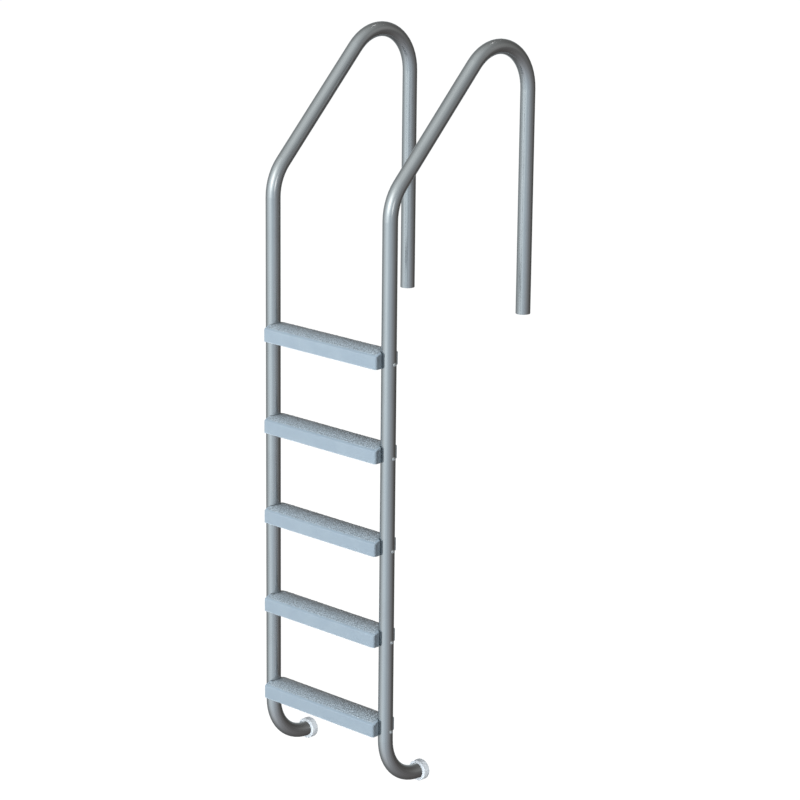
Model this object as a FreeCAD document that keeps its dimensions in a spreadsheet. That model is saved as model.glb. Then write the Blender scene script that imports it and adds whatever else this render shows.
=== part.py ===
import FreeCAD, Part
import math
import os
import Sketcher
from FreeCAD import Vector

# Five-tread ladder with bent tube handrails, held by the two rear legs that go down into the deck.
# Millimetres, +Z up. The origin is the centre of the left deck leg's cut end.
# +X runs across to the right rail and +Y runs from the water side towards the deck.

SIZES = {
    # Rails: two alike, each one bent tube
    "tube_diameter": 48.26,
    "tube_wall": 1.65,
    "rail_spacing": 508.0,
    "handrail_reach": 635.0,
    "handrail_rake": 45.0,
    "bend_radius": 152.4,
    "deck_leg_length": 734.0,
    "foot_tail": 20.0,
    # Treads: moulded shells, open underneath, notched round the rails
    "tread_count": 5,
    "tread_pitch": 304.8,
    "first_tread_drop": 408.9,
    "last_tread_rise": 74.3,
    "tread_depth": 104.0,
    "tread_height": 54.5,
    "tread_crown": 14.0,
    "tread_wall": 3.0,
    "horn_setback": 6.5,
    "saddle_clearance": 0.3,
    "corner_radius": 8.0,
    "horn_edge_radius": 8.0,
    "top_edge_radius": 4.0,
    # Ribs and bolt bosses under each tread
    "rib_thickness": 2.5,
    "rib_recess": 8.0,
    "cross_rib_count": 5,
    "boss_depth": 9.0,
    "boss_width": 26.0,
    # One bolt through each rail into each tread end
    "bolt_drop": 41.1,
    "bolt_diameter": 8.0,
    "bolt_clearance": 0.25,
    "bolt_chamfer": 1.0,
    "bolt_projection": 3.0,
    "head_diameter": 14.0,
    "head_height": 4.5,
    "head_rim": 1.2,
    "head_seat_gap": 0.2,
    "socket_across_flats": 5.0,
    "socket_depth": 2.5,
    "washer_diameter": 17.0,
    "washer_thickness": 1.6,
    "nut_across_flats": 13.0,
    "nut_height": 6.5,
    "thread_fit": 0.1,
    # Bumpers: cups pushed on the ends of the feet
    "bumper_diameter": 68.0,
    "bumper_length": 26.0,
    "bumper_lip_radius": 1.5,
    "bumper_edge_radius": 5.0,
    "bumper_fit": 0.2,
}

# Two places nearer than this are the same
CLOSE = 0.001

# Places worked out from the sizes, as text for the bindings
SLOPE_DROP = "(Sizes.handrail_reach - 2 * Sizes.bend_radius) / tan(Sizes.handrail_rake)"
CLIMB_TOP = "(Sizes.deck_leg_length - %s)" % SLOPE_DROP
TOP_TREAD = "(%s - Sizes.first_tread_drop)" % CLIMB_TOP
CLIMB_BOTTOM = "(%s - (Sizes.tread_count - 1) * Sizes.tread_pitch - Sizes.last_tread_rise)" % TOP_TREAD
ARCH_RADIUS = "(%s ^ 2 + Sizes.tread_crown ^ 2) / (2 * Sizes.tread_crown)"
SADDLE_RADIUS = "(Sizes.tube_diameter / 2 + Sizes.saddle_clearance)"
BOSS_FACE = "(Sizes.rail_spacing / 2 - %s - Sizes.boss_depth)" % SADDLE_RADIUS
HOLE_RADIUS = "(Sizes.bolt_diameter / 2 + Sizes.bolt_clearance)"
SHANK_LENGTH = (
    "(Sizes.head_seat_gap + Sizes.tube_diameter + Sizes.saddle_clearance + Sizes.boss_depth"
    " + Sizes.washer_thickness + Sizes.nut_height + Sizes.bolt_projection)"
)

doc = FreeCAD.newDocument("ladder")
sheet = doc.addObject("Spreadsheet::Sheet", "Sizes")
for row, (alias, value) in enumerate(SIZES.items(), start=1):
    sheet.set("A%d" % row, alias.replace("_", " "))
    sheet.set("B%d" % row, str(value))
    sheet.setAlias("B%d" % row, alias)
doc.recompute()


def number(expression):
    """The value of a binding's text, for the first drawing of a sketch."""
    value = sheet.evalExpression(expression)
    return float(getattr(value, "Value", value))


def new_body(name):
    body = doc.addObject("PartDesign::Body", name)
    body.Label = name
    return body


def new_sketch(body, plane_role, name):
    """A sketch on one of the body's own origin planes."""
    sketch = body.newObject("Sketcher::SketchObject", name)
    plane = next(item for item in body.Origin.OriginFeatures if item.Role == plane_role)
    sketch.AttachmentSupport = [(plane, "")]
    sketch.MapMode = "FlatFace"
    return sketch


def limit(sketch, name, expression, *constraint):
    """Adds a dimension to a sketch and binds it to the sizes."""
    index = sketch.addConstraint(Sketcher.Constraint(*constraint, number(expression)))
    sketch.renameConstraint(index, name)
    sketch.setExpression("Constraints.%s" % name, expression)


def place(body, x="0", y="0", z="0"):
    body.setExpression("Placement.Base.x", x)
    body.setExpression("Placement.Base.y", y)
    body.setExpression("Placement.Base.z", z)


# Vertex numbers that sketch constraints use, and the numbers of a sketch's own axes
START, END, CENTRE = range(1, 4)
X_AXIS = -1
Y_AXIS = -2


def add_circle(sketch, name, x, y, radius):
    """A circle whose centre lies on a sketch axis, or at (x, y), with its radius bound."""
    centre = Vector(number(x), number(y), 0)
    circle = sketch.addGeometry(Part.Circle(centre, Vector(0, 0, 1), number(radius)))
    limit(sketch, name + "_radius", radius, "Radius", circle)
    for axis, expression, key in ((Y_AXIS, x, "DistanceX"), (X_AXIS, y, "DistanceY")):
        if number(expression) == 0:
            sketch.addConstraint(Sketcher.Constraint("PointOnObject", circle, CENTRE, axis))
        else:
            limit(sketch, name + "_" + key, expression, key, X_AXIS, START, circle, CENTRE)
    return circle


def add_outline(sketch, points):
    """A closed outline of straight edges, fixed corner by corner to the sizes."""
    corners = [Vector(number(x), number(y), 0) for x, y in points]
    first = sketch.GeometryCount
    for index, corner in enumerate(corners):
        after = corners[(index + 1) % len(corners)]
        sketch.addGeometry(Part.LineSegment(corner, after))
    for index in range(len(corners)):
        after = first + (index + 1) % len(corners)
        sketch.addConstraint(Sketcher.Constraint("Coincident", first + index, END, after, START))
        fix_point(sketch, "corner_%d" % index, first + index, START, *points[index])


def fix_point(sketch, name, geometry, vertex, x, y):
    """Binds a point's place in the sketch to the sizes."""
    for axis, expression, key in ((Y_AXIS, x, "DistanceX"), (X_AXIS, y, "DistanceY")):
        if abs(number(expression)) < CLOSE:
            sketch.addConstraint(Sketcher.Constraint("PointOnObject", geometry, vertex, axis))
        else:
            limit(sketch, name + "_" + key, expression, key, X_AXIS, START, geometry, vertex)


def pad(body, sketch, name, length, midplane=False, backwards=False):
    feature = body.newObject("PartDesign::Pad", name)
    feature.Profile = sketch
    feature.Midplane = midplane
    feature.Reversed = backwards
    feature.setExpression("Length", length)
    return feature


def drill(body, sketch, name):
    """Cuts a sketch right through the body, both ways from its plane."""
    doc.recompute()
    before = body.Shape.Volume
    feature = body.newObject("PartDesign::Pocket", name)
    feature.Profile = sketch
    feature.Type = "ThroughAll"
    feature.Midplane = True
    doc.recompute()
    if not feature.Shape.Volume < before:
        raise RuntimeError("%s cuts nothing from %s" % (name, body.Label))
    return feature


def repeat(body, feature, axis, name, count, step, backwards=False):
    """A row of copies of a feature, a step apart along one of its sketch's axes."""
    pattern = body.newObject("PartDesign::LinearPattern", name)
    pattern.Originals = [feature]
    pattern.Direction = (feature.Profile[0], [axis])
    pattern.Reversed = backwards
    pattern.setExpression("Occurrences", count)
    pattern.setExpression("Length", "(%s - 1) * (%s)" % (count, step))
    body.Tip = pattern
    return pattern


def fillet(body, name, chosen, radius):
    """Rounds the edges that the given test picks from the body so far."""
    doc.recompute()
    base = body.Tip
    names = ["Edge%d" % i for i, edge in enumerate(base.Shape.Edges, start=1) if chosen(edge)]
    feature = body.newObject("PartDesign::Fillet", name)
    feature.Base = (base, names)
    feature.setExpression("Radius", radius)
    return feature


def is_upright(edge):
    box = edge.BoundBox
    return max(box.XLength, box.YLength) < CLOSE and box.ZLength > CLOSE


# Rails

def draw_rail_path(body):
    """Centre line of a rail in the YZ plane, from the deck leg's cut end to the foot's end."""
    path = new_sketch(body, "YZ_Plane", "centre_line")
    reach = number("Sizes.handrail_reach")
    bend = number("Sizes.bend_radius")
    leg = number("Sizes.deck_leg_length")
    rake = math.radians(number("Sizes.handrail_rake"))
    climb_top = number(CLIMB_TOP)
    climb_bottom = number(CLIMB_BOTTOM)
    foot_end = number("Sizes.foot_tail") + bend - reach

    crest_centre = Vector(-bend, leg, 0)
    shoulder_centre = Vector(bend - reach, climb_top, 0)
    foot_centre = Vector(bend - reach, climb_bottom, 0)
    slope_side = Vector(-math.cos(rake), math.sin(rake), 0) * bend

    def arc(centre, start_angle, end_angle):
        circle = Part.Circle(centre, Vector(0, 0, 1), bend)
        return path.addGeometry(Part.ArcOfCircle(circle, start_angle, end_angle))

    def line(start, end):
        return path.addGeometry(Part.LineSegment(start, end))

    leg_line = line(Vector(0, 0, 0), Vector(0, leg, 0))
    crest = arc(crest_centre, 0, math.pi - rake)
    slope = line(crest_centre + slope_side, shoulder_centre + slope_side)
    shoulder = arc(shoulder_centre, math.pi - rake, math.pi)
    climb = line(Vector(-reach, climb_top, 0), Vector(-reach, climb_bottom, 0))
    foot = arc(foot_centre, math.pi, 1.5 * math.pi)
    tail = line(foot_centre - Vector(0, bend, 0), Vector(foot_end, climb_bottom - bend, 0))

    joints = (
        (leg_line, END, crest, START),
        (crest, END, slope, START),
        (slope, END, shoulder, START),
        (shoulder, END, climb, START),
        (climb, END, foot, START),
        (foot, END, tail, START),
    )
    for joint in joints:
        path.addConstraint(Sketcher.Constraint("Tangent", *joint))
    path.addConstraint(Sketcher.Constraint("Coincident", leg_line, START, X_AXIS, START))
    path.addConstraint(Sketcher.Constraint("Vertical", leg_line))
    path.addConstraint(Sketcher.Constraint("Vertical", climb))
    path.addConstraint(Sketcher.Constraint("Horizontal", tail))
    path.addConstraint(Sketcher.Constraint("Equal", crest, shoulder))
    path.addConstraint(Sketcher.Constraint("Equal", crest, foot))
    limit(path, "bend", "Sizes.bend_radius", "Radius", crest)
    limit(path, "leg", "Sizes.deck_leg_length", "Distance", leg_line)
    limit(path, "tail", "Sizes.foot_tail", "Distance", tail)
    limit(path, "reach", "Sizes.handrail_reach", "DistanceX", climb, END, X_AXIS, START)
    limit(path, "shoulder_height", CLIMB_TOP, "DistanceY", X_AXIS, START, climb, START)
    limit(path, "foot_height", CLIMB_BOTTOM, "DistanceY", X_AXIS, START, climb, END)
    return path


def make_rail(name, x):
    """One tube bent into leg, crest, slope, climb and foot, drilled for the tread bolts."""
    body = new_body(name)
    path = draw_rail_path(body)
    ring = new_sketch(body, "XY_Plane", "tube_section")
    add_circle(ring, "outside", "0", "0", "Sizes.tube_diameter / 2")
    add_circle(ring, "inside", "0", "0", "Sizes.tube_diameter / 2 - Sizes.tube_wall")
    tube = body.newObject("PartDesign::AdditivePipe", "tube")
    tube.Profile = ring
    tube.Spine = path
    hole = new_sketch(body, "YZ_Plane", "bolt_hole")
    add_circle(hole, "hole", "-Sizes.handrail_reach", "%s - Sizes.bolt_drop" % TOP_TREAD, HOLE_RADIUS)
    top_hole = drill(body, hole, "top_bolt_hole")
    repeat(body, top_hole, "V_Axis", "bolt_holes", "Sizes.tread_count", "Sizes.tread_pitch", True)
    place(body, x)
    return body


# Treads

def draw_crowned_outline(body, name, inset, bottom):
    """Cross section of a tread in the YZ plane: flat bottom, straight sides and an arched top."""
    sketch = new_sketch(body, "YZ_Plane", name)
    side = "(Sizes.tread_depth / 2 - %s)" % inset
    shoulder = "(-Sizes.tread_crown - %s)" % inset
    half = number(side)
    low = number(bottom)
    eave = number(shoulder)
    ridge = -number(inset)
    floor = sketch.addGeometry(Part.LineSegment(Vector(-half, low, 0), Vector(half, low, 0)))
    back = sketch.addGeometry(Part.LineSegment(Vector(half, low, 0), Vector(half, eave, 0)))
    arch = sketch.addGeometry(Part.Arc(Vector(half, eave, 0), Vector(0, ridge, 0), Vector(-half, eave, 0)))
    front = sketch.addGeometry(Part.LineSegment(Vector(-half, eave, 0), Vector(-half, low, 0)))
    sketch.addConstraint(Sketcher.Constraint("Coincident", floor, END, back, START))
    sketch.addConstraint(Sketcher.Constraint("Coincident", back, END, arch, START))
    sketch.addConstraint(Sketcher.Constraint("Coincident", arch, END, front, START))
    sketch.addConstraint(Sketcher.Constraint("Coincident", front, END, floor, START))
    sketch.addConstraint(Sketcher.Constraint("Horizontal", floor))
    sketch.addConstraint(Sketcher.Constraint("Vertical", back))
    sketch.addConstraint(Sketcher.Constraint("Vertical", front))
    sketch.addConstraint(Sketcher.Constraint("PointOnObject", arch, CENTRE, Y_AXIS))
    limit(sketch, "half_depth", side, "DistanceX", X_AXIS, START, floor, END)
    limit(sketch, "bottom", bottom, "DistanceY", X_AXIS, START, floor, START)
    limit(sketch, "eave", shoulder, "DistanceY", X_AXIS, START, back, END)
    limit(sketch, "arch", ARCH_RADIUS % side, "Radius", arch)
    return sketch


def add_box_outline(sketch, left, right, bottom, top):
    """A rectangle given by its four sides."""
    corners = ((left, bottom), (right, bottom), (right, top), (left, top))
    points = [Vector(number(x), number(y), 0) for x, y in corners]
    lines = [
        sketch.addGeometry(Part.LineSegment(points[i], points[(i + 1) % 4]))
        for i in range(4)
    ]
    for i in range(4):
        sketch.addConstraint(Sketcher.Constraint("Coincident", lines[i], END, lines[(i + 1) % 4], START))
        sketch.addConstraint(Sketcher.Constraint("Vertical" if i % 2 else "Horizontal", lines[i]))
    base = "box%d" % lines[0]
    limit(sketch, base + "_left", left, "DistanceX", X_AXIS, START, lines[0], START)
    limit(sketch, base + "_bottom", bottom, "DistanceY", X_AXIS, START, lines[0], START)
    limit(sketch, base + "_right", right, "DistanceX", X_AXIS, START, lines[2], START)
    limit(sketch, base + "_top", top, "DistanceY", X_AXIS, START, lines[2], START)


def make_tread(name, index):
    """A moulded step: crowned deck, skirts, saddle notches, bosses and stiffening ribs."""
    body = new_body(name)
    half_length = "(Sizes.rail_spacing / 2 - Sizes.horn_setback)"
    half_depth = number("Sizes.tread_depth / 2")
    eave = -number("Sizes.tread_crown")

    # Solid block with a notch round each rail
    outline = draw_crowned_outline(body, "cross_section", "0", "-Sizes.tread_height")
    pad(body, outline, "block", "2 * " + half_length, midplane=True)
    saddles = new_sketch(body, "XY_Plane", "saddle_circles")
    add_circle(saddles, "left", "-Sizes.rail_spacing / 2", "0", SADDLE_RADIUS)
    add_circle(saddles, "right", "Sizes.rail_spacing / 2", "0", SADDLE_RADIUS)
    drill(body, saddles, "saddles")

    # Outside corners, the edges where the horns meet the notches, and the rim of the arched top
    def is_outer_corner(edge):
        return is_upright(edge) and abs(edge.CenterOfMass.y) > half_depth - CLOSE

    def is_horn_edge(edge):
        return is_upright(edge) and abs(edge.CenterOfMass.y) < half_depth - CLOSE

    def is_rim(edge):
        return edge.BoundBox.ZMin > eave - CLOSE

    fillet(body, "outer_corners", is_outer_corner, "Sizes.corner_radius")
    fillet(body, "horn_edges", is_horn_edge, "Sizes.horn_edge_radius")
    fillet(body, "rim", is_rim, "Sizes.top_edge_radius")

    # Hollow it from below
    doc.recompute()
    rounded = body.Tip
    bottom = -number("Sizes.tread_height")
    floor = [
        "Face%d" % i
        for i, face in enumerate(rounded.Shape.Faces, start=1)
        if face.BoundBox.ZMax < bottom + CLOSE
    ]
    shell = body.newObject("PartDesign::Thickness", "shell")
    shell.Base = (rounded, floor)
    shell.Reversed = True
    shell.setExpression("Value", "Sizes.tread_wall")

    # A boss behind each saddle, trimmed to the notch, with the bolt hole through it
    bosses = new_sketch(body, "XZ_Plane", "boss_outlines")
    boss_bottom = "-Sizes.bolt_drop - Sizes.boss_width / 2"
    ceiling = "-Sizes.tread_wall / 2"
    add_box_outline(bosses, BOSS_FACE, half_length + " - Sizes.tread_wall", boss_bottom, ceiling)
    add_box_outline(bosses, "-%s + Sizes.tread_wall" % half_length, "-" + BOSS_FACE, boss_bottom, ceiling)
    pad(body, bosses, "bosses", "Sizes.boss_width", midplane=True)
    drill(body, saddles, "boss_saddles")

    # Two long ribs that flank the nuts
    rails = new_sketch(body, "YZ_Plane", "long_rib_outlines")
    rib_bottom = "-Sizes.tread_height + Sizes.rib_recess"
    inner = "Sizes.boss_width / 2 - Sizes.rib_thickness"
    outer = "Sizes.boss_width / 2"
    add_box_outline(rails, inner, outer, rib_bottom, ceiling)
    add_box_outline(rails, "-" + outer, "-(%s)" % inner, rib_bottom, ceiling)
    pad(body, rails, "long_ribs", "2 * (%s + Sizes.boss_depth / 2)" % BOSS_FACE, midplane=True)

    holes = new_sketch(body, "YZ_Plane", "bolt_hole")
    add_circle(holes, "hole", "0", "-Sizes.bolt_drop", HOLE_RADIUS)
    drill(body, holes, "bolt_holes")

    # Cross ribs, evenly spaced, joined to the deck and both skirts
    spacing = "2 * %s / (Sizes.cross_rib_count + 1)" % half_length
    rib = draw_crowned_outline(body, "cross_rib_outline", "Sizes.tread_wall / 2", rib_bottom)
    rib.setExpression("AttachmentOffset.Base.z", "-(Sizes.cross_rib_count - 1) / 2 * (%s)" % spacing)
    first_rib = pad(body, rib, "first_cross_rib", "Sizes.rib_thickness", midplane=True)
    repeat(body, first_rib, "N_Axis", "cross_ribs", "Sizes.cross_rib_count", spacing)

    height = "%s - %d * Sizes.tread_pitch" % (TOP_TREAD, index)
    place(body, "Sizes.rail_spacing / 2", "-Sizes.handrail_reach", height)
    return body


# Fasteners. Each is drawn about the X axis, with its head towards +X.

def spin(body, sketch, name, axis="H_Axis"):
    feature = body.newObject("PartDesign::Revolution", name)
    feature.Profile = sketch
    feature.ReferenceAxis = (sketch, [axis])
    feature.Angle = 360
    return feature


def add_hexagon(sketch, name, across_flats):
    """A hexagon about the sketch's centre, held by the circle through its corners."""
    flats = number(across_flats)
    radius = flats / math.sqrt(3)
    ring = sketch.addGeometry(Part.Circle(Vector(0, 0, 0), Vector(0, 0, 1), radius), True)
    sketch.addConstraint(Sketcher.Constraint("Coincident", ring, CENTRE, X_AXIS, START))
    limit(sketch, name, "(%s) / sqrt(3)" % across_flats, "Radius", ring)
    corners = [
        Vector(radius * math.cos(i * math.pi / 3), radius * math.sin(i * math.pi / 3), 0)
        for i in range(6)
    ]
    sides = [
        sketch.addGeometry(Part.LineSegment(corners[i], corners[(i + 1) % 6]))
        for i in range(6)
    ]
    for i in range(6):
        sketch.addConstraint(Sketcher.Constraint("Coincident", sides[i], END, sides[(i + 1) % 6], START))
        sketch.addConstraint(Sketcher.Constraint("PointOnObject", sides[i], START, ring))
    for i in range(5):
        sketch.addConstraint(Sketcher.Constraint("Equal", sides[i], sides[i + 1]))
    sketch.addConstraint(Sketcher.Constraint("PointOnObject", sides[0], START, X_AXIS))


def place_on_bolt_line(body, side, index, distance):
    """Seats a fastener a distance out from the rail's axis, head away from the ladder's middle."""
    body.Placement.Rotation = FreeCAD.Rotation(Vector(0, 0, 1), 0 if side > 0 else 180)
    x = "(1 + %d) * Sizes.rail_spacing / 2 + %d * (%s)" % (side, side, distance)
    height = "%s - Sizes.bolt_drop - %d * Sizes.tread_pitch" % (TOP_TREAD, index)
    place(body, x, "-Sizes.handrail_reach", height)


def make_bolt(name, side, index):
    """A button head bolt that goes in from outside the rail."""
    body = new_body(name)
    profile = new_sketch(body, "XY_Plane", "half_profile")
    corners = (
        ("Sizes.head_height", "0"),
        ("-" + SHANK_LENGTH, "0"),
        ("-" + SHANK_LENGTH, "Sizes.bolt_diameter / 2 - Sizes.bolt_chamfer"),
        ("Sizes.bolt_chamfer - " + SHANK_LENGTH, "Sizes.bolt_diameter / 2"),
        ("0", "Sizes.bolt_diameter / 2"),
        ("0", "Sizes.head_diameter / 2"),
        ("Sizes.head_rim", "Sizes.head_diameter / 2"),
    )
    points = [Vector(number(x), number(y), 0) for x, y in corners]
    lines = [
        profile.addGeometry(Part.LineSegment(points[i], points[i + 1]))
        for i in range(len(points) - 1)
    ]
    apex, rim = points[0], points[-1]
    middle = (apex.x ** 2 - rim.x ** 2 - rim.y ** 2) / (2 * (apex.x - rim.x))
    circle = Part.Circle(Vector(middle, 0, 0), Vector(0, 0, 1), apex.x - middle)
    dome = profile.addGeometry(Part.ArcOfCircle(circle, 0, math.atan2(rim.y, rim.x - middle)))
    for i, line in enumerate(lines[:-1]):
        profile.addConstraint(Sketcher.Constraint("Coincident", line, END, lines[i + 1], START))
    profile.addConstraint(Sketcher.Constraint("Coincident", dome, START, lines[0], START))
    profile.addConstraint(Sketcher.Constraint("Coincident", dome, END, lines[-1], END))
    profile.addConstraint(Sketcher.Constraint("PointOnObject", dome, CENTRE, X_AXIS))
    for i, line in enumerate(lines):
        fix_point(profile, "corner%d" % i, line, START, *corners[i])
    fix_point(profile, "rim", lines[-1], END, *corners[-1])
    spin(body, profile, "turned")
    socket = new_sketch(body, "YZ_Plane", "socket_outline")
    socket.setExpression("AttachmentOffset.Base.z", "Sizes.head_height")
    add_hexagon(socket, "socket", "Sizes.socket_across_flats")
    doc.recompute()
    before = body.Shape.Volume
    pocket = body.newObject("PartDesign::Pocket", "socket")
    pocket.Profile = socket
    pocket.setExpression("Length", "Sizes.socket_depth")
    doc.recompute()
    if not pocket.Shape.Volume < before:
        raise RuntimeError("the socket cuts nothing from %s" % name)
    place_on_bolt_line(body, side, index, "Sizes.tube_diameter / 2 + Sizes.head_seat_gap")
    return body


def make_washer(name, side, index):
    """A flat washer on the boss's inner face."""
    body = new_body(name)
    ring = new_sketch(body, "YZ_Plane", "ring")
    add_circle(ring, "outside", "0", "0", "Sizes.washer_diameter / 2")
    add_circle(ring, "inside", "0", "0", "Sizes.bolt_diameter / 2 + Sizes.thread_fit")
    pad(body, ring, "plate", "Sizes.washer_thickness", backwards=True)
    place_on_bolt_line(body, side, index, "%s - Sizes.rail_spacing / 2" % BOSS_FACE)
    return body


def make_nut(name, side, index):
    """A hexagon nut against the washer."""
    body = new_body(name)
    outline = new_sketch(body, "YZ_Plane", "hexagon")
    add_hexagon(outline, "hexagon", "Sizes.nut_across_flats")
    add_circle(outline, "bore", "0", "0", "Sizes.bolt_diameter / 2 + Sizes.thread_fit")
    pad(body, outline, "block", "Sizes.nut_height", backwards=True)
    seat = "%s - Sizes.rail_spacing / 2 - Sizes.washer_thickness" % BOSS_FACE
    place_on_bolt_line(body, side, index, seat)
    return body


# Bumpers

def make_bumper(name, x):
    """A round cup that the foot's end is pushed into, with its flat base towards the wall."""
    body = new_body(name)
    profile = new_sketch(body, "XY_Plane", "half_profile")
    bore = "Sizes.tube_diameter / 2 + Sizes.bumper_fit"
    corners = (
        ("0", "Sizes.foot_tail"),
        (bore, "Sizes.foot_tail"),
        (bore, "0"),
        ("Sizes.bumper_diameter / 2", "0"),
        ("Sizes.bumper_diameter / 2", "Sizes.bumper_length"),
        ("0", "Sizes.bumper_length"),
    )
    add_outline(profile, corners)
    spin(body, profile, "cup", "V_Axis")
    radius = number("Sizes.bumper_diameter / 2")
    length = number("Sizes.bumper_length")

    def is_outer_ring(edge, y):
        box = edge.BoundBox
        return box.YLength < CLOSE and abs(box.YMin - y) < CLOSE and box.XLength > 2 * radius - CLOSE

    fillet(body, "lip", lambda edge: is_outer_ring(edge, 0), "Sizes.bumper_lip_radius")
    fillet(body, "base_edge", lambda edge: is_outer_ring(edge, length), "Sizes.bumper_edge_radius")
    y = "Sizes.bend_radius - Sizes.handrail_reach"
    place(body, x, y, "%s - Sizes.bend_radius" % CLIMB_BOTTOM)
    return body


# The whole ladder

parts = [make_rail("left_rail", "0"), make_rail("right_rail", "Sizes.rail_spacing")]
for step in range(int(SIZES["tread_count"])):
    parts.append(make_tread("tread_%d" % (step + 1), step))
    for side_name, side in (("left", -1), ("right", 1)):
        label = "%s_%%s_%d" % (side_name, step + 1)
        parts.append(make_bolt(label % "bolt", side, step))
        parts.append(make_washer(label % "washer", side, step))
        parts.append(make_nut(label % "nut", side, step))
parts.append(make_bumper("left_bumper", "0"))
parts.append(make_bumper("right_bumper", "Sizes.rail_spacing"))
doc.recompute()

for item in doc.Objects:
    if "Invalid" in item.State or "Error" in item.State:
        raise RuntimeError("%s did not build" % item.Label)
os.makedirs("parts", exist_ok=True)
for part in parts:
    shape = part.Shape
    if shape.isNull() or not shape.isValid() or len(shape.Solids) != 1:
        raise RuntimeError("%s is not one sound solid" % part.Label)
    shape.exportStep(os.path.join("parts", part.Label + ".step"))
print("wrote %d solids" % len(parts))
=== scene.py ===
# %% [markdown]
# # A dock ladder, dressed for the studio
# The CAD model already has every tube, tread, bolt and bumper in its right place. This lesson leaves
# those shapes alone and gives each one its finish: satin stainless steel, moulded tread plastic, bright
# fasteners and white rubber. It also adds the pebbled grip on top of each tread, which is too fine for
# CAD. All lengths are metres, in the CAD model's own frame: +X to the right rail, +Y towards the deck and
# +Z up.

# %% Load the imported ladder
import math
import random

import bpy
from mathutils import Matrix, Vector


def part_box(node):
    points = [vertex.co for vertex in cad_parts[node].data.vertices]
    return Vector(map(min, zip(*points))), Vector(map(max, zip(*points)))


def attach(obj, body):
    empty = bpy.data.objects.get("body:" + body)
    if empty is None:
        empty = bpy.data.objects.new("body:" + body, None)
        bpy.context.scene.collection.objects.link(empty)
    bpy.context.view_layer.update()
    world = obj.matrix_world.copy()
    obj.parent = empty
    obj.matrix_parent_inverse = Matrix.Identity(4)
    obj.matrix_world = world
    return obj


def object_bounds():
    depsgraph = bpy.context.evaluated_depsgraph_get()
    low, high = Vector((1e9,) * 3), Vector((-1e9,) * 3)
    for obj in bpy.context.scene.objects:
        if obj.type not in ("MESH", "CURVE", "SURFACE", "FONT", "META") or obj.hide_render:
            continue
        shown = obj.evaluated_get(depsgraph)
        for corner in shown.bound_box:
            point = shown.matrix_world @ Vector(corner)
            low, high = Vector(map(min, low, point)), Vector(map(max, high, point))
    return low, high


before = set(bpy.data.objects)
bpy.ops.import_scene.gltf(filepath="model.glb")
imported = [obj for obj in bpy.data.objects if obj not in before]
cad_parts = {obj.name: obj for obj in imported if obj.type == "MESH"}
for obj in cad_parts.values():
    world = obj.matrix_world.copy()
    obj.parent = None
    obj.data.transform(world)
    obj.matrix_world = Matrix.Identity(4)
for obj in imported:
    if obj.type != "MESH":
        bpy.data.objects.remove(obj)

cad_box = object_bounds()
print("loaded", len(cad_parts), "CAD nodes, from", cad_box[0], "to", cad_box[1])

# %% [markdown]
# ## The camera
# The picture was taken from the water side, about 45 degrees round to the right and 16 degrees above the
# treads, with a long lens, so that upright lines stay parallel. The picture is cut from a wider one: its
# optical centre lies left of the middle. A lens shift gives the same cut without turning the camera,
# which would tilt the uprights.

# %% Place the camera
IMAGE_SIDE = 800
FOCAL_PIXELS = 2922.5
OPTICAL_CENTRE = (288.24, 374.70)
CAMERA_PLACE = Vector((6.4482, -7.0323, 2.3449))
CAMERA_TURN = math.radians(44.924)
CAMERA_TILT = math.radians(15.546)

lens = bpy.data.cameras.new("studio_camera")
lens.lens = FOCAL_PIXELS * lens.sensor_width / IMAGE_SIDE
lens.shift_x = (IMAGE_SIDE / 2 - OPTICAL_CENTRE[0]) / IMAGE_SIDE
lens.shift_y = (OPTICAL_CENTRE[1] - IMAGE_SIDE / 2) / IMAGE_SIDE
camera = bpy.data.objects.new("studio_camera", lens)
bpy.context.scene.collection.objects.link(camera)
camera.location = CAMERA_PLACE
camera.rotation_euler = (math.pi / 2 - CAMERA_TILT, 0, CAMERA_TURN)
bpy.context.scene.camera = camera
print("camera: %.1f mm lens, shift %.3f, %.3f" % (lens.lens, lens.shift_x, lens.shift_y))

# %% [markdown]
# ## Helpers for shader nodes
# A finish is a small network of nodes. A few helpers keep each network readable: put adds a node and
# fills or joins its sockets, calc does a sum, remap stretches a range and blend mixes two colours. A node
# group is a reusable effect with named inputs and outputs, such as grain or dust, that several finishes
# share: start_effect begins one, and use_effect places it in a finish.

# %% Helpers: nodes and sums
def put(tree, kind, sockets=None, **options):
    """Adds a node. A socket given another node's output is joined to it, and else set to the value."""
    node = tree.nodes.new(kind)
    for option, value in options.items():
        setattr(node, option, value)
    for socket, value in (sockets or {}).items():
        if isinstance(value, bpy.types.NodeSocket):
            tree.links.new(value, node.inputs[socket])
        else:
            node.inputs[socket].default_value = value
    return node


def calc(tree, operation, *values):
    """One sum on one to three numbers."""
    return put(tree, "ShaderNodeMath", dict(enumerate(values)), operation=operation).outputs[0]


def times(tree, first, second):
    """The product of two numbers, which is how one mask is laid over another."""
    return calc(tree, "MULTIPLY", first, second)


def axes(tree, vector):
    """A vector's three numbers, by their names X, Y and Z."""
    return put(tree, "ShaderNodeSeparateXYZ", {0: vector}).outputs


def vector_of(tree, x, y, z):
    """A vector from three numbers."""
    return put(tree, "ShaderNodeCombineXYZ", {0: x, 1: y, 2: z}).outputs[0]


print("helpers ready: put, calc, times, axes, vector_of")

# %% Helpers: patterns and mixing
def facing_up(tree):
    """How far a face looks up: 1 where it is level, 0 where it is upright, and -1 where it looks down."""
    return axes(tree, put(tree, "ShaderNodeNewGeometry").outputs["Normal"])["Z"]


def noise(tree, place, scale, detail, **sockets):
    """Cloudy noise, from 0 to 1, round about 0.5."""
    sockets = {"Vector": place, "Scale": scale, "Detail": detail, **sockets}
    return put(tree, "ShaderNodeTexNoise", sockets).outputs["Fac"]


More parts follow.
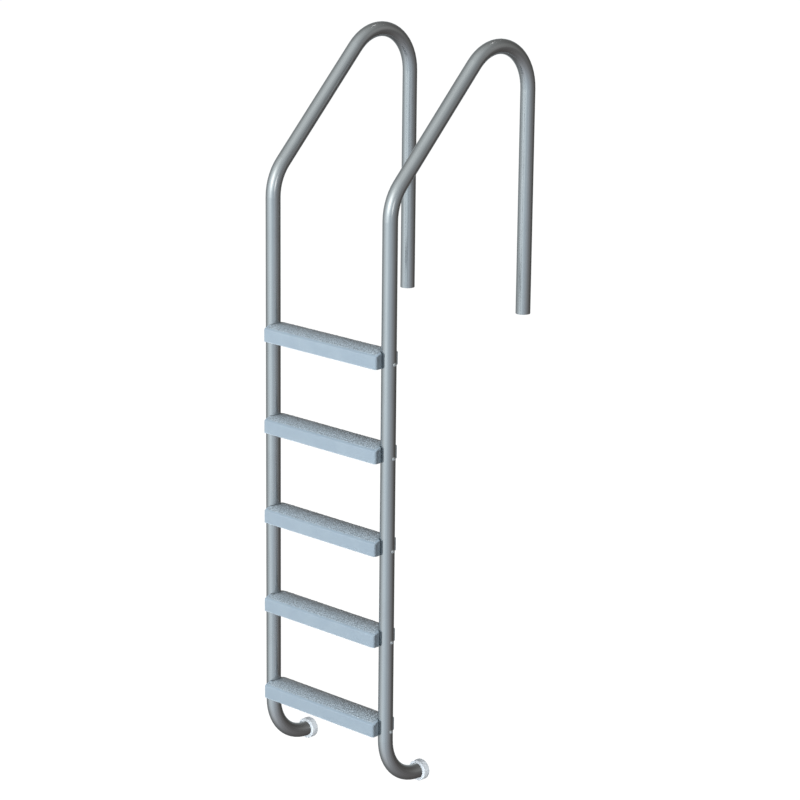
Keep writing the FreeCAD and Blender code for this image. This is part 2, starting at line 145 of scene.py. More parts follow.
def remap(tree, value, low, high, to_low=0.0, to_high=1.0):
    """Stretches a range of values to another, with soft ends."""
    sockets = {"Value": value, "From Min": low, "From Max": high, "To Min": to_low, "To Max": to_high}
    return put(tree, "ShaderNodeMapRange", sockets, interpolation_type="SMOOTHSTEP").outputs[0]


def blend(tree, factor, first, second):
    """Mixes two colours."""
    sockets = {"Factor": factor, "A": first, "B": second}
    return put(tree, "ShaderNodeMix", sockets, data_type="RGBA").outputs["Result"]


print("helpers ready: facing_up, noise, remap, blend")

# %% Helpers: effects
FLOAT, VECTOR = "NodeSocketFloat", "NodeSocketVector"


def start_effect(name, inputs, outputs):
    """A new node group with its sockets, and its two end nodes."""
    tree = bpy.data.node_groups.new(name, "ShaderNodeTree")
    for label, kind, value in inputs:
        socket = tree.interface.new_socket(label, in_out="INPUT", socket_type=kind)
        if value is not None:
            socket.default_value = value
    for label, kind in outputs:
        tree.interface.new_socket(label, in_out="OUTPUT", socket_type=kind)
    return tree, put(tree, "NodeGroupInput").outputs, put(tree, "NodeGroupOutput").inputs


def use_effect(tree, group, **sockets):
    """Places a group in a finish. Socket names are written with _ for a space."""
    node = put(tree, "ShaderNodeGroup", node_tree=group)
    for label, value in sockets.items():
        socket = node.inputs[label.replace("_", " ")]
        if isinstance(value, bpy.types.NodeSocket):
            tree.links.new(value, socket)
        else:
            socket.default_value = value
    return node.outputs


print("helpers ready: start_effect, use_effect")

# %% [markdown]
# ## Effect: grain that follows the bent tube
# A rail is polished along its length before and after it is bent, so its fine lines run along the tube
# and turn with it. The trick is to straighten the tube in the shader: in a bend, the distance from the
# bend's centre and the angle round it take the place of the two straight directions. The stretched
# noise that draws the lines then runs round every bend. The sizes of the rails' path come first.

# %% The rails' path
BEND = 0.1524
REACH = 0.635
LEG_TOP = 0.734
CLIMB_TOP = LEG_TOP - (REACH - 2 * BEND)
FOOT_TOP = -1.2986
CREST = (-BEND, LEG_TOP)
SHOULDER = (BEND - REACH, CLIMB_TOP)
FOOT = (BEND - REACH, FOOT_TOP)
DIAGONAL = math.sqrt(0.5)
print("bends of %.1f mm about the crest, the shoulder and the foot" % (BEND * 1000))

# %% Effect: tube direction
straighten, given, result = start_effect(
    "straighten_tube", [("Place", VECTOR, None)], [("Along Tube", VECTOR)]
)
split = axes(straighten, given["Place"])


def from_centre_of(centre):
    """How far a place lies from a bend's centre, in Y and in Z."""
    y = calc(straighten, "SUBTRACT", split["Y"], centre[0])
    return y, calc(straighten, "SUBTRACT", split["Z"], centre[1])


def round_bend(centre):
    """The place as (across, out from the bend's centre, along the bend)."""
    y, z = from_centre_of(centre)
    squares = calc(straighten, "ADD", times(straighten, y, y), times(straighten, z, z))
    out = calc(straighten, "SQRT", squares)
    along = times(straighten, calc(straighten, "ARCTAN2", z, y), BEND)
    return vector_of(straighten, split["X"], out, along)


def up_slope(centre):
    """How far up the sloping handrail a place is from a bend's centre."""
    return times(straighten, calc(straighten, "ADD", *from_centre_of(centre)), DIAGONAL)


def choose(test, first, second):
    """The first place where the test holds, and else the second."""
    sockets = {"Factor": test, "A": second, "B": first}
    return put(straighten, "ShaderNodeMix", sockets, data_type="VECTOR").outputs[1]


across_slope = times(straighten, calc(straighten, "SUBTRACT", split["Z"], split["Y"]), DIAGONAL)
sloping = vector_of(straighten, split["X"], across_slope, up_slope((0, 0)))
lying = vector_of(straighten, split["X"], split["Z"], split["Y"])
above_leg = calc(straighten, "GREATER_THAN", split["Z"], LEG_TOP)
in_crest = times(straighten, above_leg, calc(straighten, "GREATER_THAN", up_slope(CREST), 0))
near_deck = calc(straighten, "GREATER_THAN", split["Y"], -BEND / 2)
above_climb = calc(straighten, "GREATER_THAN", split["Z"], CLIMB_TOP)
in_shoulder = calc(straighten, "LESS_THAN", up_slope(SHOULDER), 0)
below_climb = calc(straighten, "LESS_THAN", split["Z"], FOOT_TOP)
past_foot = calc(straighten, "GREATER_THAN", split["Y"], FOOT[0])
high = choose(in_shoulder, round_bend(SHOULDER), sloping)
high = choose(near_deck, given["Place"], high)
high = choose(in_crest, round_bend(CREST), high)
low = choose(past_foot, lying, round_bend(FOOT))
place = choose(above_climb, high, choose(below_climb, low, given["Place"]))
straighten.links.new(place, result["Along Tube"])
print("tube direction effect:", len(straighten.nodes), "nodes")

# %% [markdown]
# ## Effects: grain, marks and dust
# - Brushed lines: noise squeezed along one direction, two sizes together, so that no line is alike.
# - Handling marks: large soft patches where hands and packing have dulled the surface.
# - Settled dust: a thin veil on what faces up, patchy, never on undersides.

# %% Effects: brushed lines, handling marks, settled dust
brushed, given, result = start_effect(
    "brushed_lines",
    [("Place", VECTOR, None), ("Lines", FLOAT, 900.0), ("Stretch", FLOAT, 0.02)],
    [("Fine", FLOAT), ("Broad", FLOAT)],
)
squeeze = vector_of(brushed, 1.0, 1.0, given["Stretch"])
sockets = {0: given["Place"], 1: squeeze}
lines_at = put(brushed, "ShaderNodeVectorMath", sockets, operation="MULTIPLY").outputs[0]
for label, share in (("Fine", 1.0), ("Broad", 0.16)):
    scale = times(brushed, given["Lines"], share)
    lines = noise(brushed, lines_at, scale, 3.0, Roughness=0.6)
    brushed.links.new(remap(brushed, lines, 0.3, 0.7), result[label])

handling, given, result = start_effect(
    "handling_marks", [("Place", VECTOR, None), ("Size", FLOAT, 9.0)], [("Mask", FLOAT)]
)
patches = noise(handling, given["Place"], given["Size"], 5.0, Distortion=0.6)
handling.links.new(remap(handling, patches, 0.46, 0.72), result["Mask"])

dust, given, result = start_effect(
    "settled_dust", [("Place", VECTOR, None), ("Size", FLOAT, 40.0)], [("Mask", FLOAT)]
)
upward = remap(dust, facing_up(dust), 0.5, 1.0)
specks = remap(dust, noise(dust, given["Place"], given["Size"], 6.0), 0.35, 0.75)
dust.links.new(times(dust, upward, specks), result["Mask"])
print("effects:", brushed.name, handling.name, dust.name)

# %% [markdown]
# ## Effects: moulded skin, rubbed and highlit edges and cloudy colour
# - Moulded skin: a mould's etched wall leaves a fine leathery grain, under a millimetre across.
# - Rubbed and highlit edges: corners are touched most, and on the treads this mask also paints a pale
#   highlight. The Bevel node gives the normal that a rounded edge would have, and where it differs from
#   the true normal there is an edge.
# - Cloudy colour: pigment is never perfectly mixed, so the tone drifts a little over the piece.

# %% Effects: moulded skin, rubbed and highlit edges, cloudy colour
skin, given, result = start_effect(
    "moulded_skin",
    [("Place", VECTOR, None), ("Grains", FLOAT, 900.0)],
    [("Height", FLOAT), ("Pits", FLOAT)],
)
sockets = {"Vector": given["Place"], "Scale": given["Grains"]}
cells = put(skin, "ShaderNodeTexVoronoi", sockets, feature="SMOOTH_F1").outputs["Distance"]
fuzz = noise(skin, given["Place"], times(skin, given["Grains"], 1.7), 2.0)
skin.links.new(calc(skin, "ADD", cells, times(skin, fuzz, 0.4)), result["Height"])
skin.links.new(remap(skin, fuzz, 0.55, 0.75), result["Pits"])

edges, given, result = start_effect(
    "edge_rub_and_highlight", [("Place", VECTOR, None), ("Reach", FLOAT, 0.002)], [("Mask", FLOAT)]
)
rounded = put(edges, "ShaderNodeBevel", {"Radius": given["Reach"]}, samples=4).outputs[0]
sockets = {0: rounded, 1: put(edges, "ShaderNodeNewGeometry").outputs["Normal"]}
likeness = put(edges, "ShaderNodeVectorMath", sockets, operation="DOT_PRODUCT").outputs["Value"]
bends = remap(edges, calc(edges, "SUBTRACT", 1.0, likeness), 0.02, 0.25)
broken = remap(edges, noise(edges, given["Place"], 160.0, 4.0), 0.35, 0.65, 0.35, 1.0)
edges.links.new(times(edges, bends, broken), result["Mask"])

cloudy, given, result = start_effect(
    "cloudy_colour",
    [("Place", VECTOR, None), ("Size", FLOAT, 14.0)],
    [("Tone", FLOAT), ("Speckle", FLOAT)],
)
drift = noise(cloudy, given["Place"], given["Size"], 3.0)
grit = noise(cloudy, given["Place"], times(cloudy, given["Size"], 12.0), 4.0)
cloudy.links.new(remap(cloudy, drift, 0.3, 0.7), result["Tone"])
cloudy.links.new(remap(cloudy, grit, 0.3, 0.7), result["Speckle"])
print("effects:", skin.name, edges.name, cloudy.name)

# %% [markdown]
# ## Finish: satin stainless tube
# The rails are stainless tube with a satin polish: a grey metal that shows soft, slightly blurred
# reflections. The metal itself is bright, so most of what the eye sees is the room. The grain changes
# the roughness more than the colour, and hands leave duller patches.

# %% Satin stainless steel
def start_finish(name):
    """A new material with its shader, and the place on the piece that every pattern reads."""
    material = bpy.data.materials.new(name)
    material.use_nodes = True
    tree = material.node_tree
    place = put(tree, "ShaderNodeTexCoord").outputs["Object"]
    return material, tree, tree.nodes["Principled BSDF"], place


def set_relief(tree, shader, height, depth):
    """Gives the shader a bump from a height of 0 to 1, so many metres deep."""
    bump = put(tree, "ShaderNodeBump", {"Height": height, "Distance": depth, "Strength": 1.0})
    tree.links.new(bump.outputs["Normal"], shader.inputs["Normal"])


steel, tree, shader, place = start_finish("satin_stainless")
tube_place = use_effect(tree, straighten, Place=place)["Along Tube"]
grain = use_effect(tree, brushed, Place=tube_place, Lines=1400.0, Stretch=0.015)
marks = use_effect(tree, handling, Place=place, Size=7.0)["Mask"]
veil = use_effect(tree, dust, Place=place, Size=60.0)["Mask"]
metal = blend(tree, grain["Broad"], (0.575, 0.59, 0.6, 1), (0.63, 0.64, 0.645, 1))
metal = blend(tree, times(tree, marks, 0.3), metal, (0.52, 0.53, 0.54, 1))
metal = blend(tree, times(tree, veil, 0.12), metal, (0.5, 0.48, 0.45, 1))
roughness = remap(tree, grain["Fine"], 0.0, 1.0, 0.16, 0.23)
roughness = calc(tree, "ADD", roughness, times(tree, marks, 0.06))
tree.links.new(metal, shader.inputs["Base Color"])
tree.links.new(roughness, shader.inputs["Roughness"])
shader.inputs["Metallic"].default_value = 1.0
set_relief(tree, shader, grain["Fine"], 0.000008)
print("finish:", steel.name, len(tree.nodes), "nodes")

# %% [markdown]
# ## Finish: tread plastic
# The treads are moulded in a blue grey plastic, matt, with the fine skin of the mould. The colour
# drifts slightly, edges are polished by feet and painted pale as a highlight, and dust settles on top.
# The top is painted lighter towards the front and darker at the rear, as painted light and shade. The
# pebbles of the grip get the same plastic, painted a little paler as a highlight. A mask built from the
# tread's own sizes says where the grip is, so that its speckle stops at the smooth border.

# %% The treads' sizes
RAIL_SPACING = 0.508
TREAD_TOP = CLIMB_TOP - 0.4089
TREAD_STEP = 0.3048
HALF_DEPTH = 0.052
BORDER = 0.0085
END_MARGIN = 0.016
print("top tread at z = %.4f, then one each %.1f mm down" % (TREAD_TOP, TREAD_STEP * 1000))

# %% Mask: inside the grip's border
def inside_border(tree, split):
    """1 within the grip's border and 0 outside it, seen from above."""
    from_middle = calc(tree, "ABSOLUTE", calc(tree, "ADD", split["Y"], REACH))
    from_centre = calc(tree, "ABSOLUTE", calc(tree, "SUBTRACT", split["X"], RAIL_SPACING / 2))
    edge_deep = HALF_DEPTH - BORDER
    edge_across = RAIL_SPACING / 2 - END_MARGIN
    deep = remap(tree, from_middle, edge_deep - 0.001, edge_deep + 0.001, 1.0, 0.0)
    return times(tree, deep, remap(tree, from_centre, edge_across, edge_across + 0.003, 1.0, 0.0))


print("the grip reaches %.1f mm to each side of a tread's middle line" % ((HALF_DEPTH - BORDER) * 1000))

# %% Tread plastic and grip plastic
def make_tread_plastic(name, pale, grimy, skin_depth):
    """The blue grey plastic. Within the grip, it is speckled between a pale and a grimy tone."""
    material, tree, shader, place = start_finish(name)
    tone = use_effect(tree, cloudy, Place=place, Size=16.0)
    etched = use_effect(tree, skin, Place=place, Grains=1100.0)
    rubbed_and_highlit = use_effect(tree, edges, Place=place, Reach=0.006)["Mask"]
    marks = use_effect(tree, handling, Place=place, Size=11.0)["Mask"]
    veil = use_effect(tree, dust, Place=place, Size=90.0)["Mask"]
    split = axes(tree, place)

    # The mould's own colour, and the speckle of the grip.
    facing = facing_up(tree)
    in_grip = times(tree, inside_border(tree, split), remap(tree, facing, 0.4, 0.7))
    colour = blend(tree, tone["Tone"], (0.405, 0.495, 0.57, 1), (0.435, 0.525, 0.595, 1))
    speckled = blend(tree, remap(tree, tone["Speckle"], 0.2, 0.8), grimy, pale)
    colour = blend(tree, in_grip, colour, speckled)

    # The top is painted lighter towards the front and darker at the rear: painted light and shade.
    rearwards = remap(tree, split["Y"], -REACH - 0.06, -REACH + 0.047)
    front_light_rear_shade = blend(tree, rearwards, (1.19, 1.22, 1.24, 1), (0.69, 0.6, 0.56, 1))
    sockets = {"Factor": remap(tree, facing, 0.5, 0.9), "A": colour, "B": front_light_rear_shade}
    mixed = put(tree, "ShaderNodeMix", sockets, data_type="RGBA", blend_type="MULTIPLY")
    colour = mixed.outputs["Result"]

    # Edges are painted pale as a highlight: the upright ones most, and along the top the front edge only.
    along_top = remap(tree, split["Y"], -REACH - 0.03, -REACH + 0.03, 0.55, 0.05)
    highlight_share = remap(tree, calc(tree, "ABSOLUTE", facing), 0.1, 0.5, 1.0, along_top)
    colour = blend(tree, times(tree, rubbed_and_highlit, highlight_share), colour, (0.77, 0.86, 0.93, 1))
    colour = blend(tree, times(tree, veil, 0.1), colour, (0.5, 0.49, 0.46, 1))

    roughness = remap(tree, etched["Height"], 0.0, 1.0, 0.34, 0.46)
    roughness = calc(tree, "SUBTRACT", roughness, times(tree, rubbed_and_highlit, 0.08))
    roughness = calc(tree, "ADD", roughness, times(tree, marks, 0.05))
    tree.links.new(colour, shader.inputs["Base Color"])
    tree.links.new(roughness, shader.inputs["Roughness"])
    shader.inputs["IOR"].default_value = 1.49
    shader.inputs["Specular IOR Level"].default_value = 0.8
    set_relief(tree, shader, etched["Height"], skin_depth)
    return material


tread_plastic = make_tread_plastic(
    "tread_plastic", pale=(0.47, 0.555, 0.615, 1), grimy=(0.295, 0.35, 0.385, 1), skin_depth=0.00004
)
# The grip's pebbles are painted paler than the tread, as a highlight.
grip_plastic = make_tread_plastic(
    "grip_plastic", pale=(0.565, 0.64, 0.68, 1), grimy=(0.395, 0.462, 0.512, 1), skin_depth=0.00003
)
print("finishes:", tread_plastic.name, grip_plastic.name)

# %% [markdown]
# ## Finish: bright fasteners
# Bolts, washers and nuts are turned and polished, so they are brighter than the tube and carry faint
# rings about the bolt's axis. All bolts of one tread share an axis, and the treads repeat every 304.8 mm,
# so wrapping the height by that step gives every bolt its own set of rings from one pattern.

# %% Fastener steel
BOLT_HEIGHT = TREAD_TOP - 0.0411

fastener, tree, shader, place = start_finish("fastener_steel")
split = axes(tree, place)
above_bolt = calc(tree, "SUBTRACT", split["Z"], BOLT_HEIGHT)
from_axis = calc(tree, "WRAP", above_bolt, TREAD_STEP / 2, -TREAD_STEP / 2)
from_rail = calc(tree, "ADD", split["Y"], REACH)
squares = calc(tree, "ADD", times(tree, from_axis, from_axis), times(tree, from_rail, from_rail))
ring_place = vector_of(tree, calc(tree, "SQRT", squares), 0.0, split["X"])
rings = use_effect(tree, brushed, Place=ring_place, Lines=2600.0, Stretch=0.2)
worn = use_effect(tree, edges, Place=place, Reach=0.0008)["Mask"]
stain = use_effect(tree, handling, Place=place, Size=120.0)["Mask"]
metal = blend(tree, rings["Broad"], (0.66, 0.67, 0.68, 1), (0.74, 0.745, 0.75, 1))
metal = blend(tree, times(tree, stain, 0.35), metal, (0.5, 0.48, 0.45, 1))
metal = blend(tree, times(tree, worn, 0.5), metal, (0.85, 0.85, 0.85, 1))
roughness = remap(tree, rings["Fine"], 0.0, 1.0, 0.14, 0.24)
tree.links.new(metal, shader.inputs["Base Color"])
tree.links.new(calc(tree, "ADD", roughness, times(tree, stain, 0.1)), shader.inputs["Roughness"])
shader.inputs["Metallic"].default_value = 1.0
set_relief(tree, shader, rings["Fine"], 0.000006)
print("finish:", fastener.name, len(tree.nodes), "nodes")

# %% [markdown]
# ## Finish: white rubber
# The bumpers are white moulded rubber that rests against the wall. It is softer looking than the tread
# plastic: a broad sheen, a fine mould grain, and grey scuffs where it has been rubbed.

# %% White bumper rubber
rubber, tree, shader, place = start_finish("white_rubber")
tone = use_effect(tree, cloudy, Place=place, Size=30.0)
etched = use_effect(tree, skin, Place=place, Grains=1500.0)
rubbed_and_highlit = use_effect(tree, edges, Place=place, Reach=0.003)["Mask"]
scuffs = use_effect(tree, handling, Place=place, Size=45.0)["Mask"]
colour = blend(tree, tone["Tone"], (0.81, 0.87, 0.925, 1), (0.845, 0.9, 0.945, 1))
colour = blend(tree, times(tree, scuffs, 0.1), colour, (0.62, 0.64, 0.65, 1))
colour = blend(tree, times(tree, rubbed_and_highlit, 0.5), colour, (0.91, 0.945, 0.955, 1))
colour = blend(tree, times(tree, etched["Pits"], 0.04), colour, (0.6, 0.6, 0.6, 1))
roughness = remap(tree, etched["Height"], 0.0, 1.0, 0.42, 0.55)
tree.links.new(colour, shader.inputs["Base Color"])
tree.links.new(calc(tree, "ADD", roughness, times(tree, scuffs, 0.1)), shader.inputs["Roughness"])
shader.inputs["Sheen Weight"].default_value = 0.08
set_relief(tree, shader, etched["Height"], 0.00002)
print("finish:", rubber.name, len(tree.nodes), "nodes")

# %% [markdown]
# ## Dress the CAD pieces
# Each CAD node keeps its own mesh. Only the material in its slots changes, chosen by the node's name.

# %% Give every CAD node its finish
FINISHES = {
    "rail": steel,
    "tread": tread_plastic,
    "bumper": rubber,
    "bolt": fastener,
    "washer": fastener,
    "nut": fastener,
}
dressed = {}
for name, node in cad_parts.items():
    kind = next(kind for kind in FINISHES if kind in name)
    for slot in node.material_slots:
        slot.material = FINISHES[kind]
    dressed[kind] = dressed.get(kind, 0) + 1
print("dressed:", dressed)

# %% [markdown]
# ## The pebbled grip
# The top of each tread is moulded with low pebbles, so that a wet foot does not slip. A bump map would
# vanish at a low angle, so the pebbles are real: one flattened dome is modelled, copied over the
# crowned top with small seeded changes of place, size and turn, and joined. The border stays smooth.
# Each pebble stands about a millimetre proud and its foot is sunk a little into the tread.

# %% Model one pebble
PEBBLE_RADIUS = 0.0036
PEBBLE_RISE = 0.0013

bpy.ops.object.select_all(action="DESELECT")
bpy.ops.mesh.primitive_uv_sphere_add(segments=8, ring_count=6, radius=PEBBLE_RADIUS, location=(0, 0, 0))
pebble = bpy.context.object
bpy.ops.object.mode_set(mode="EDIT")
bpy.ops.mesh.select_all(action="SELECT")
bpy.ops.transform.resize(value=(1, 1, PEBBLE_RISE / PEBBLE_RADIUS))
bpy.ops.mesh.bisect(plane_co=(0, 0, 0), plane_no=(0, 0, 1), use_fill=True, clear_inner=True)
bpy.ops.mesh.select_all(action="SELECT")
bpy.ops.mesh.normals_make_consistent(inside=False)
bpy.ops.object.mode_set(mode="OBJECT")
print("one pebble:", len(pebble.data.polygons), "faces")

# %% Seat one pebble on the crowned top
CROWN = 0.014
ARCH = (HALF_DEPTH ** 2 + CROWN ** 2) / (2 * CROWN)
PEBBLE_SUNK = 0.0003


def seat_pebble(x, y, size, turn):
    """A copy of the pebble at x, and at y from the tread's middle, square to the crown's arc."""
    drop = ARCH - math.sqrt(ARCH ** 2 - y ** 2)
    sit = Matrix.Translation((x, y - REACH, TREAD_TOP - drop))
    lean = Matrix.Rotation(-math.asin(y / ARCH), 4, "X")
    sink = Matrix.Translation((0, 0, -PEBBLE_SUNK))
    turned = Matrix.Rotation(turn, 4, "Z")
    one = bpy.data.objects.new("pebble", pebble.data.copy())
    one.matrix_world = sit @ lean @ sink @ turned @ Matrix.Diagonal((*size, 1))
    bpy.context.scene.collection.objects.link(one)
    return one


print("the crown is part of a circle of %.1f mm" % (ARCH * 1000))

# %% Spread pebbles over the first tread
PITCH_ACROSS = 0.0084
PITCH_DEEP = 0.0082
STRAY_ACROSS = 0.0022
STRAY_DEEP = 0.002
RAIL_CLEARANCE = 0.034
END_INSET = 0.013

chance = random.Random(12)
field = []
rows = int(2 * (HALF_DEPTH - BORDER) / PITCH_DEEP)
columns = int((RAIL_SPACING - 2 * END_INSET) / PITCH_ACROSS)
for row in range(rows + 1):
    for column in range(columns + 1):
        x = RAIL_SPACING / 2 + (column - columns / 2 + (row % 2) / 2 - 0.25) * PITCH_ACROSS
        y = (row - rows / 2) * PITCH_DEEP
        x += chance.uniform(-STRAY_ACROSS, STRAY_ACROSS)
        y += chance.uniform(-STRAY_DEEP, STRAY_DEEP)
        from_rail = min(math.hypot(x, y), math.hypot(x - RAIL_SPACING, y))
        if from_rail < RAIL_CLEARANCE or abs(y) > HALF_DEPTH - BORDER:
            continue
        if not END_MARGIN < x < RAIL_SPACING - END_MARGIN:
            continue
        size = (chance.uniform(0.65, 1.2), chance.uniform(0.65, 1.15), chance.uniform(0.5, 1.1))
        field.append(seat_pebble(x, y, size, turn=chance.uniform(0, math.pi)))
bpy.data.objects.remove(pebble)
bpy.ops.object.select_all(action="DESELECT")
for one in field:
    one.select_set(True)
bpy.context.view_layer.objects.active = field[0]
bpy.ops.object.join()
bpy.ops.object.transform_apply(location=True, rotation=True, scale=True)
first_grip = bpy.context.object
bpy.ops.object.shade_smooth()
print("pebbles on one tread:", len(field), "with", len(first_grip.data.polygons), "faces")

# %% Copy the grip to every tread
TREADS = 5
for number in range(1, TREADS + 1):
    if number == 1:
        grip = first_grip
    else:
        grip = bpy.data.objects.new("grip", first_grip.data.copy())
        grip.data.transform(Matrix.Translation((0, 0, -(number - 1) * TREAD_STEP)))
        bpy.context.scene.collection.objects.link(grip)
    grip.name = "tread_%d_grip" % number
    grip.data.materials.clear()
    grip.data.materials.append(grip_plastic)
    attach(grip, "root")
print("grips in place:", TREADS)

# %% [markdown]
# ## The studio
# The background is white and the light is plain. One large soft lamp stands in front on the water side,
# a little above the ladder, and far enough away to light every tread alike. The world adds a dim
# fill, weaker from behind. The camera, mirror reflections and glass see the world as plain white.

# %% The world
scene = bpy.context.scene
scene.view_settings.view_transform = "Standard"


def white_share(tree, rays):
    """1 for what the camera, mirror reflections and glass see, and 0 for light that falls on things."""
    straight = calc(tree, "MAXIMUM", rays["Is Glossy Ray"], rays["Is Transmission Ray"])
    return calc(tree, "MAXIMUM", rays["Is Camera Ray"], straight)


world = bpy.data.worlds.new("studio")
scene.world = world
world.use_nodes = True
tree = world.node_tree
rays = put(tree, "ShaderNodeLightPath").outputs
ahead = axes(tree, put(tree, "ShaderNodeTexCoord").outputs["Generated"])["Y"]
fill = blend(tree, remap(tree, ahead, -0.8, 0.6), (0.33, 0.335, 0.345, 1), (0.085, 0.08, 0.075, 1))
room = blend(tree, white_share(tree, rays), fill, (1, 1, 1, 1))
tree.links.new(room, tree.nodes["Background"].inputs["Color"])
print("world:", world.name)

# %% Place the key lamp
LADDER_MIDDLE = Vector((RAIL_SPACING / 2, -0.6, -0.5))
KEY_DISTANCE = 14.0
KEY_HEIGHT = math.radians(17)
TOWARDS_KEY = Vector((0, -math.cos(KEY_HEIGHT), math.sin(KEY_HEIGHT)))


def hang_lamp(lamp, place):
    """Puts a lamp at a place, aims it at the ladder's middle and hides it from mirror reflections."""
    hung = bpy.data.objects.new(lamp.name, lamp)
    scene.collection.objects.link(hung)
    hung.location = place
    hung.rotation_euler = (LADDER_MIDDLE - hung.location).to_track_quat("-Z", "Y").to_euler()
    hung.visible_glossy = False
    return hung


key = bpy.data.lights.new("key_softbox", "AREA")
key.shape = "SQUARE"
key.size = 6.0
key.energy = 1540
key.color = (0.95, 1.0, 1.05)
hang_lamp(key, LADDER_MIDDLE + KEY_DISTANCE * TOWARDS_KEY)
print("key lamp: %.0f m away, %.0f degrees up" % (KEY_DISTANCE, math.degrees(KEY_HEIGHT)))

# %% [markdown]
# ## A low lamp behind
# Seen from the deck side, the ladder would stand in its own shadow. A weak lamp behind it, close to the
# floor, lights the backs of the treads and leaves their tops alone.

# %% Place the back lamp
BACK_DISTANCE = 5.0
BACK_RISE = 0.27

back = bpy.data.lights.new("back_lamp", "AREA")
back.shape = "RECTANGLE"
back.size = 3.0
back.size_y = 0.4
back.energy = 110
back.color = (1.0, 0.98, 0.96)
back_place = (LADDER_MIDDLE.x, LADDER_MIDDLE.y + BACK_DISTANCE, cad_box[0][2] + BACK_RISE)
hung_back = hang_lamp(back, back_place)
hung_back.visible_camera = False
print("back lamp at z = %.2f" % hung_back.location.z)

# %% [markdown]
# ## Two small spots for the bumpers
# The bumpers are small, white and low, and the feet shade them from the key lamp. A narrow spot on each,
# from the camera's side, keeps them as white as they are. A spot this narrow touches nothing else. Lit
# so well, each bumper would also show as a pale ring in the tube beside it, so mirror reflections leave
# it out.

# %% Aim the bumper spots
TOWARDS_CAMERA = Vector((0.681, -0.681, 0.268))
SPOT_DISTANCE = 3.0

for side in ("left", "right"):
    low, high = (Vector(corner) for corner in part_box(side + "_bumper"))
    spot = bpy.data.lights.new(side + "_bumper_spot", "SPOT")
    spot.energy = 215
    spot.spot_size = math.radians(2.4)
    spot.spot_blend = 0.3
    spot.shadow_soft_size = 0.04
    spot_object = bpy.data.objects.new(spot.name, spot)
    scene.collection.objects.link(spot_object)
    spot_object.location = (low + high) / 2 + SPOT_DISTANCE * TOWARDS_CAMERA
    spot_object.rotation_euler = TOWARDS_CAMERA.to_track_quat("Z", "Y").to_euler()
    spot_object.visible_glossy = False
    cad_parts[side + "_bumper"].visible_glossy = False
    print("spot on", side, "bumper")

# %% [markdown]
# ## The reflection tent
# Polished metal shows its room, so a photographer hangs lamps, cards and cloths round it. Here they are
# painted on one big dome that only mirror reflections see: dark cloth all over, and on it soft patches of
# light. Each patch is a smooth hill of brightness about one direction. The angle to that direction comes
# from a dot product, and an exponential turns it into the hill.

# %% Raise the tent
TENT_RADIUS = 30

bpy.ops.object.select_all(action="DESELECT")
bpy.ops.mesh.primitive_uv_sphere_add(segments=48, ring_count=24, radius=TENT_RADIUS, location=(0, 0, 0))
tent = bpy.context.object
tent.name = "reflection_tent"
for kind in ("camera", "diffuse", "transmission", "volume_scatter", "shadow"):
    setattr(tent, "visible_" + kind, False)
print("tent: a dome of %d m radius, seen by mirror reflections only" % TENT_RADIUS)

# %% One soft patch of light
cloth = bpy.data.materials.new("tent_cloth")
cloth.use_nodes = True
tree = cloth.node_tree
tree.nodes.clear()
outward = put(tree, "ShaderNodeTexCoord").outputs["Object"]
direction = put(tree, "ShaderNodeVectorMath", {0: outward}, operation="NORMALIZE").outputs[0]


def light_patch(turn, lift, sharpness, colour):
    """A soft patch of light, so many degrees round to the right of the water side and up."""
    turn, lift = math.radians(turn), math.radians(lift)
    middle = (math.sin(turn) * math.cos(lift), -math.cos(turn) * math.cos(lift), math.sin(lift))
    sockets = {0: direction, 1: middle}
    nearness = put(tree, "ShaderNodeVectorMath", sockets, operation="DOT_PRODUCT").outputs["Value"]
    hill = calc(tree, "EXPONENT", times(tree, calc(tree, "SUBTRACT", nearness, 1.0), sharpness))
    return put(tree, "ShaderNodeVectorMath", {0: colour, "Scale": hill}, operation="SCALE").outputs[0]


print("the cloth of the tent:", cloth.name)

# %% Paint the patches
PATCHES = [
    ("main soft box", 4, 20, 16.0, (0.77, 0.773, 0.746)),
    ("foot of the soft box", 3, -16, 7.0, (0.006, 0.025, 0.038)),
    ("glow of the front wall", -22, 3, 2.05, (0.365, 0.411, 0.431)),
    ("narrow side card", 62, 8, 110.0, (0.77, 0.757, 0.722)),
    ("card behind on the left", -130, -8, 8.0, (0.25, 0.285, 0.3)),
    ("ceiling", 33, 64, 1.9, (0.3, 0.321, 0.321)),
    ("right wall", 135, 13, 18.0, (0.08, 0.08, 0.078)),
    ("front wall on the right", 55, -16, 2.2, (0.055, 0.1, 0.14)),
    ("floor in front", 0, -51, 7.2, (0.143, 0.14, 0.147)),
    ("brown floor on the right", 76, -35, 2.6, (0.1, 0.079, 0.067)),
    ("small lamp behind", 182, 60, 2500.0, (3.2, 3.15, 3.1)),
]
DARK_CLOTH = (0.012, 0.006, 0.002)
TENT_STRENGTH = 1.67

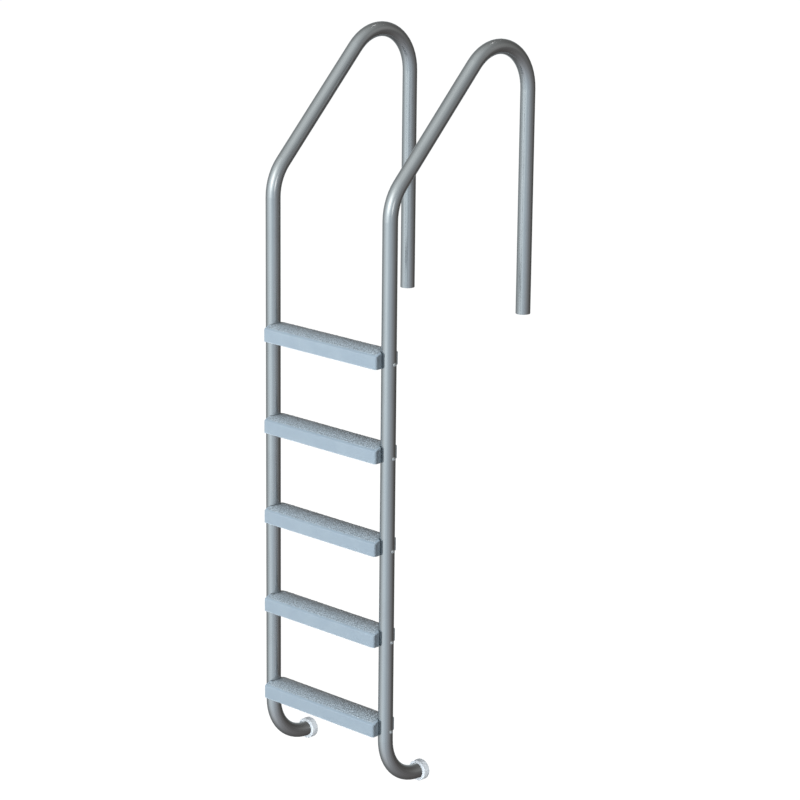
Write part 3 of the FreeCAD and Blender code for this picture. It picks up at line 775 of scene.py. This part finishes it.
tent_light = DARK_CLOTH
for title, turn, lift, sharpness, colour in PATCHES:
    patch = light_patch(turn, lift, sharpness, colour)
    tent_light = put(tree, "ShaderNodeVectorMath", {0: patch, 1: tent_light}, operation="ADD").outputs[0]
    print("painted:", title)
glow = put(tree, "ShaderNodeEmission", {"Color": tent_light, "Strength": TENT_STRENGTH}).outputs[0]
put(tree, "ShaderNodeOutputMaterial", {"Surface": glow})
tent.data.materials.append(cloth)
print("patches of light:", len(PATCHES))

# %% [markdown]
# ## The floor
# The floor is pale and plain, and melts into the white background. To the camera most of it glows white,
# and a small part is ordinary pale paint, so that the ladder still leaves a faint soft shadow. From below
# it is clear, so that the undersides of the treads can be looked at too.

# %% Lay the floor
FLOOR_SIDE = 80
FLOOR_GAP = 0.001

bpy.ops.object.select_all(action="DESELECT")
bpy.ops.mesh.primitive_plane_add(size=FLOOR_SIDE, location=(0, 0, cad_box[0][2] - FLOOR_GAP))
floor = bpy.context.object
floor.name = "floor"
floor.visible_glossy = False
print("floor at z = %.3f" % floor.location.z)

# %% Paint the floor
GLOW_SHARE = 0.75
GLOW_STRENGTH = 1.34

paper = bpy.data.materials.new("white_paper")
paper.use_nodes = True
tree = paper.node_tree
tree.nodes.clear()
rays = put(tree, "ShaderNodeLightPath").outputs
paint = put(tree, "ShaderNodeBsdfDiffuse", {"Color": (0.45, 0.45, 0.445, 1)}).outputs[0]
white = put(tree, "ShaderNodeEmission", {"Color": (1, 1, 1, 1), "Strength": GLOW_STRENGTH}).outputs[0]
glowing = times(tree, white_share(tree, rays), GLOW_SHARE)
paper_mix = put(tree, "ShaderNodeMixShader", {0: glowing, 1: paint, 2: white}).outputs[0]
underside = put(tree, "ShaderNodeNewGeometry").outputs["Backfacing"]
from_below = times(tree, rays["Is Camera Ray"], underside)
clear = put(tree, "ShaderNodeBsdfTransparent").outputs[0]
paper_mix = put(tree, "ShaderNodeMixShader", {0: from_below, 1: paper_mix, 2: clear}).outputs[0]
put(tree, "ShaderNodeOutputMaterial", {"Surface": paper_mix})
floor.data.materials.append(paper)
print("finish:", paper.name)
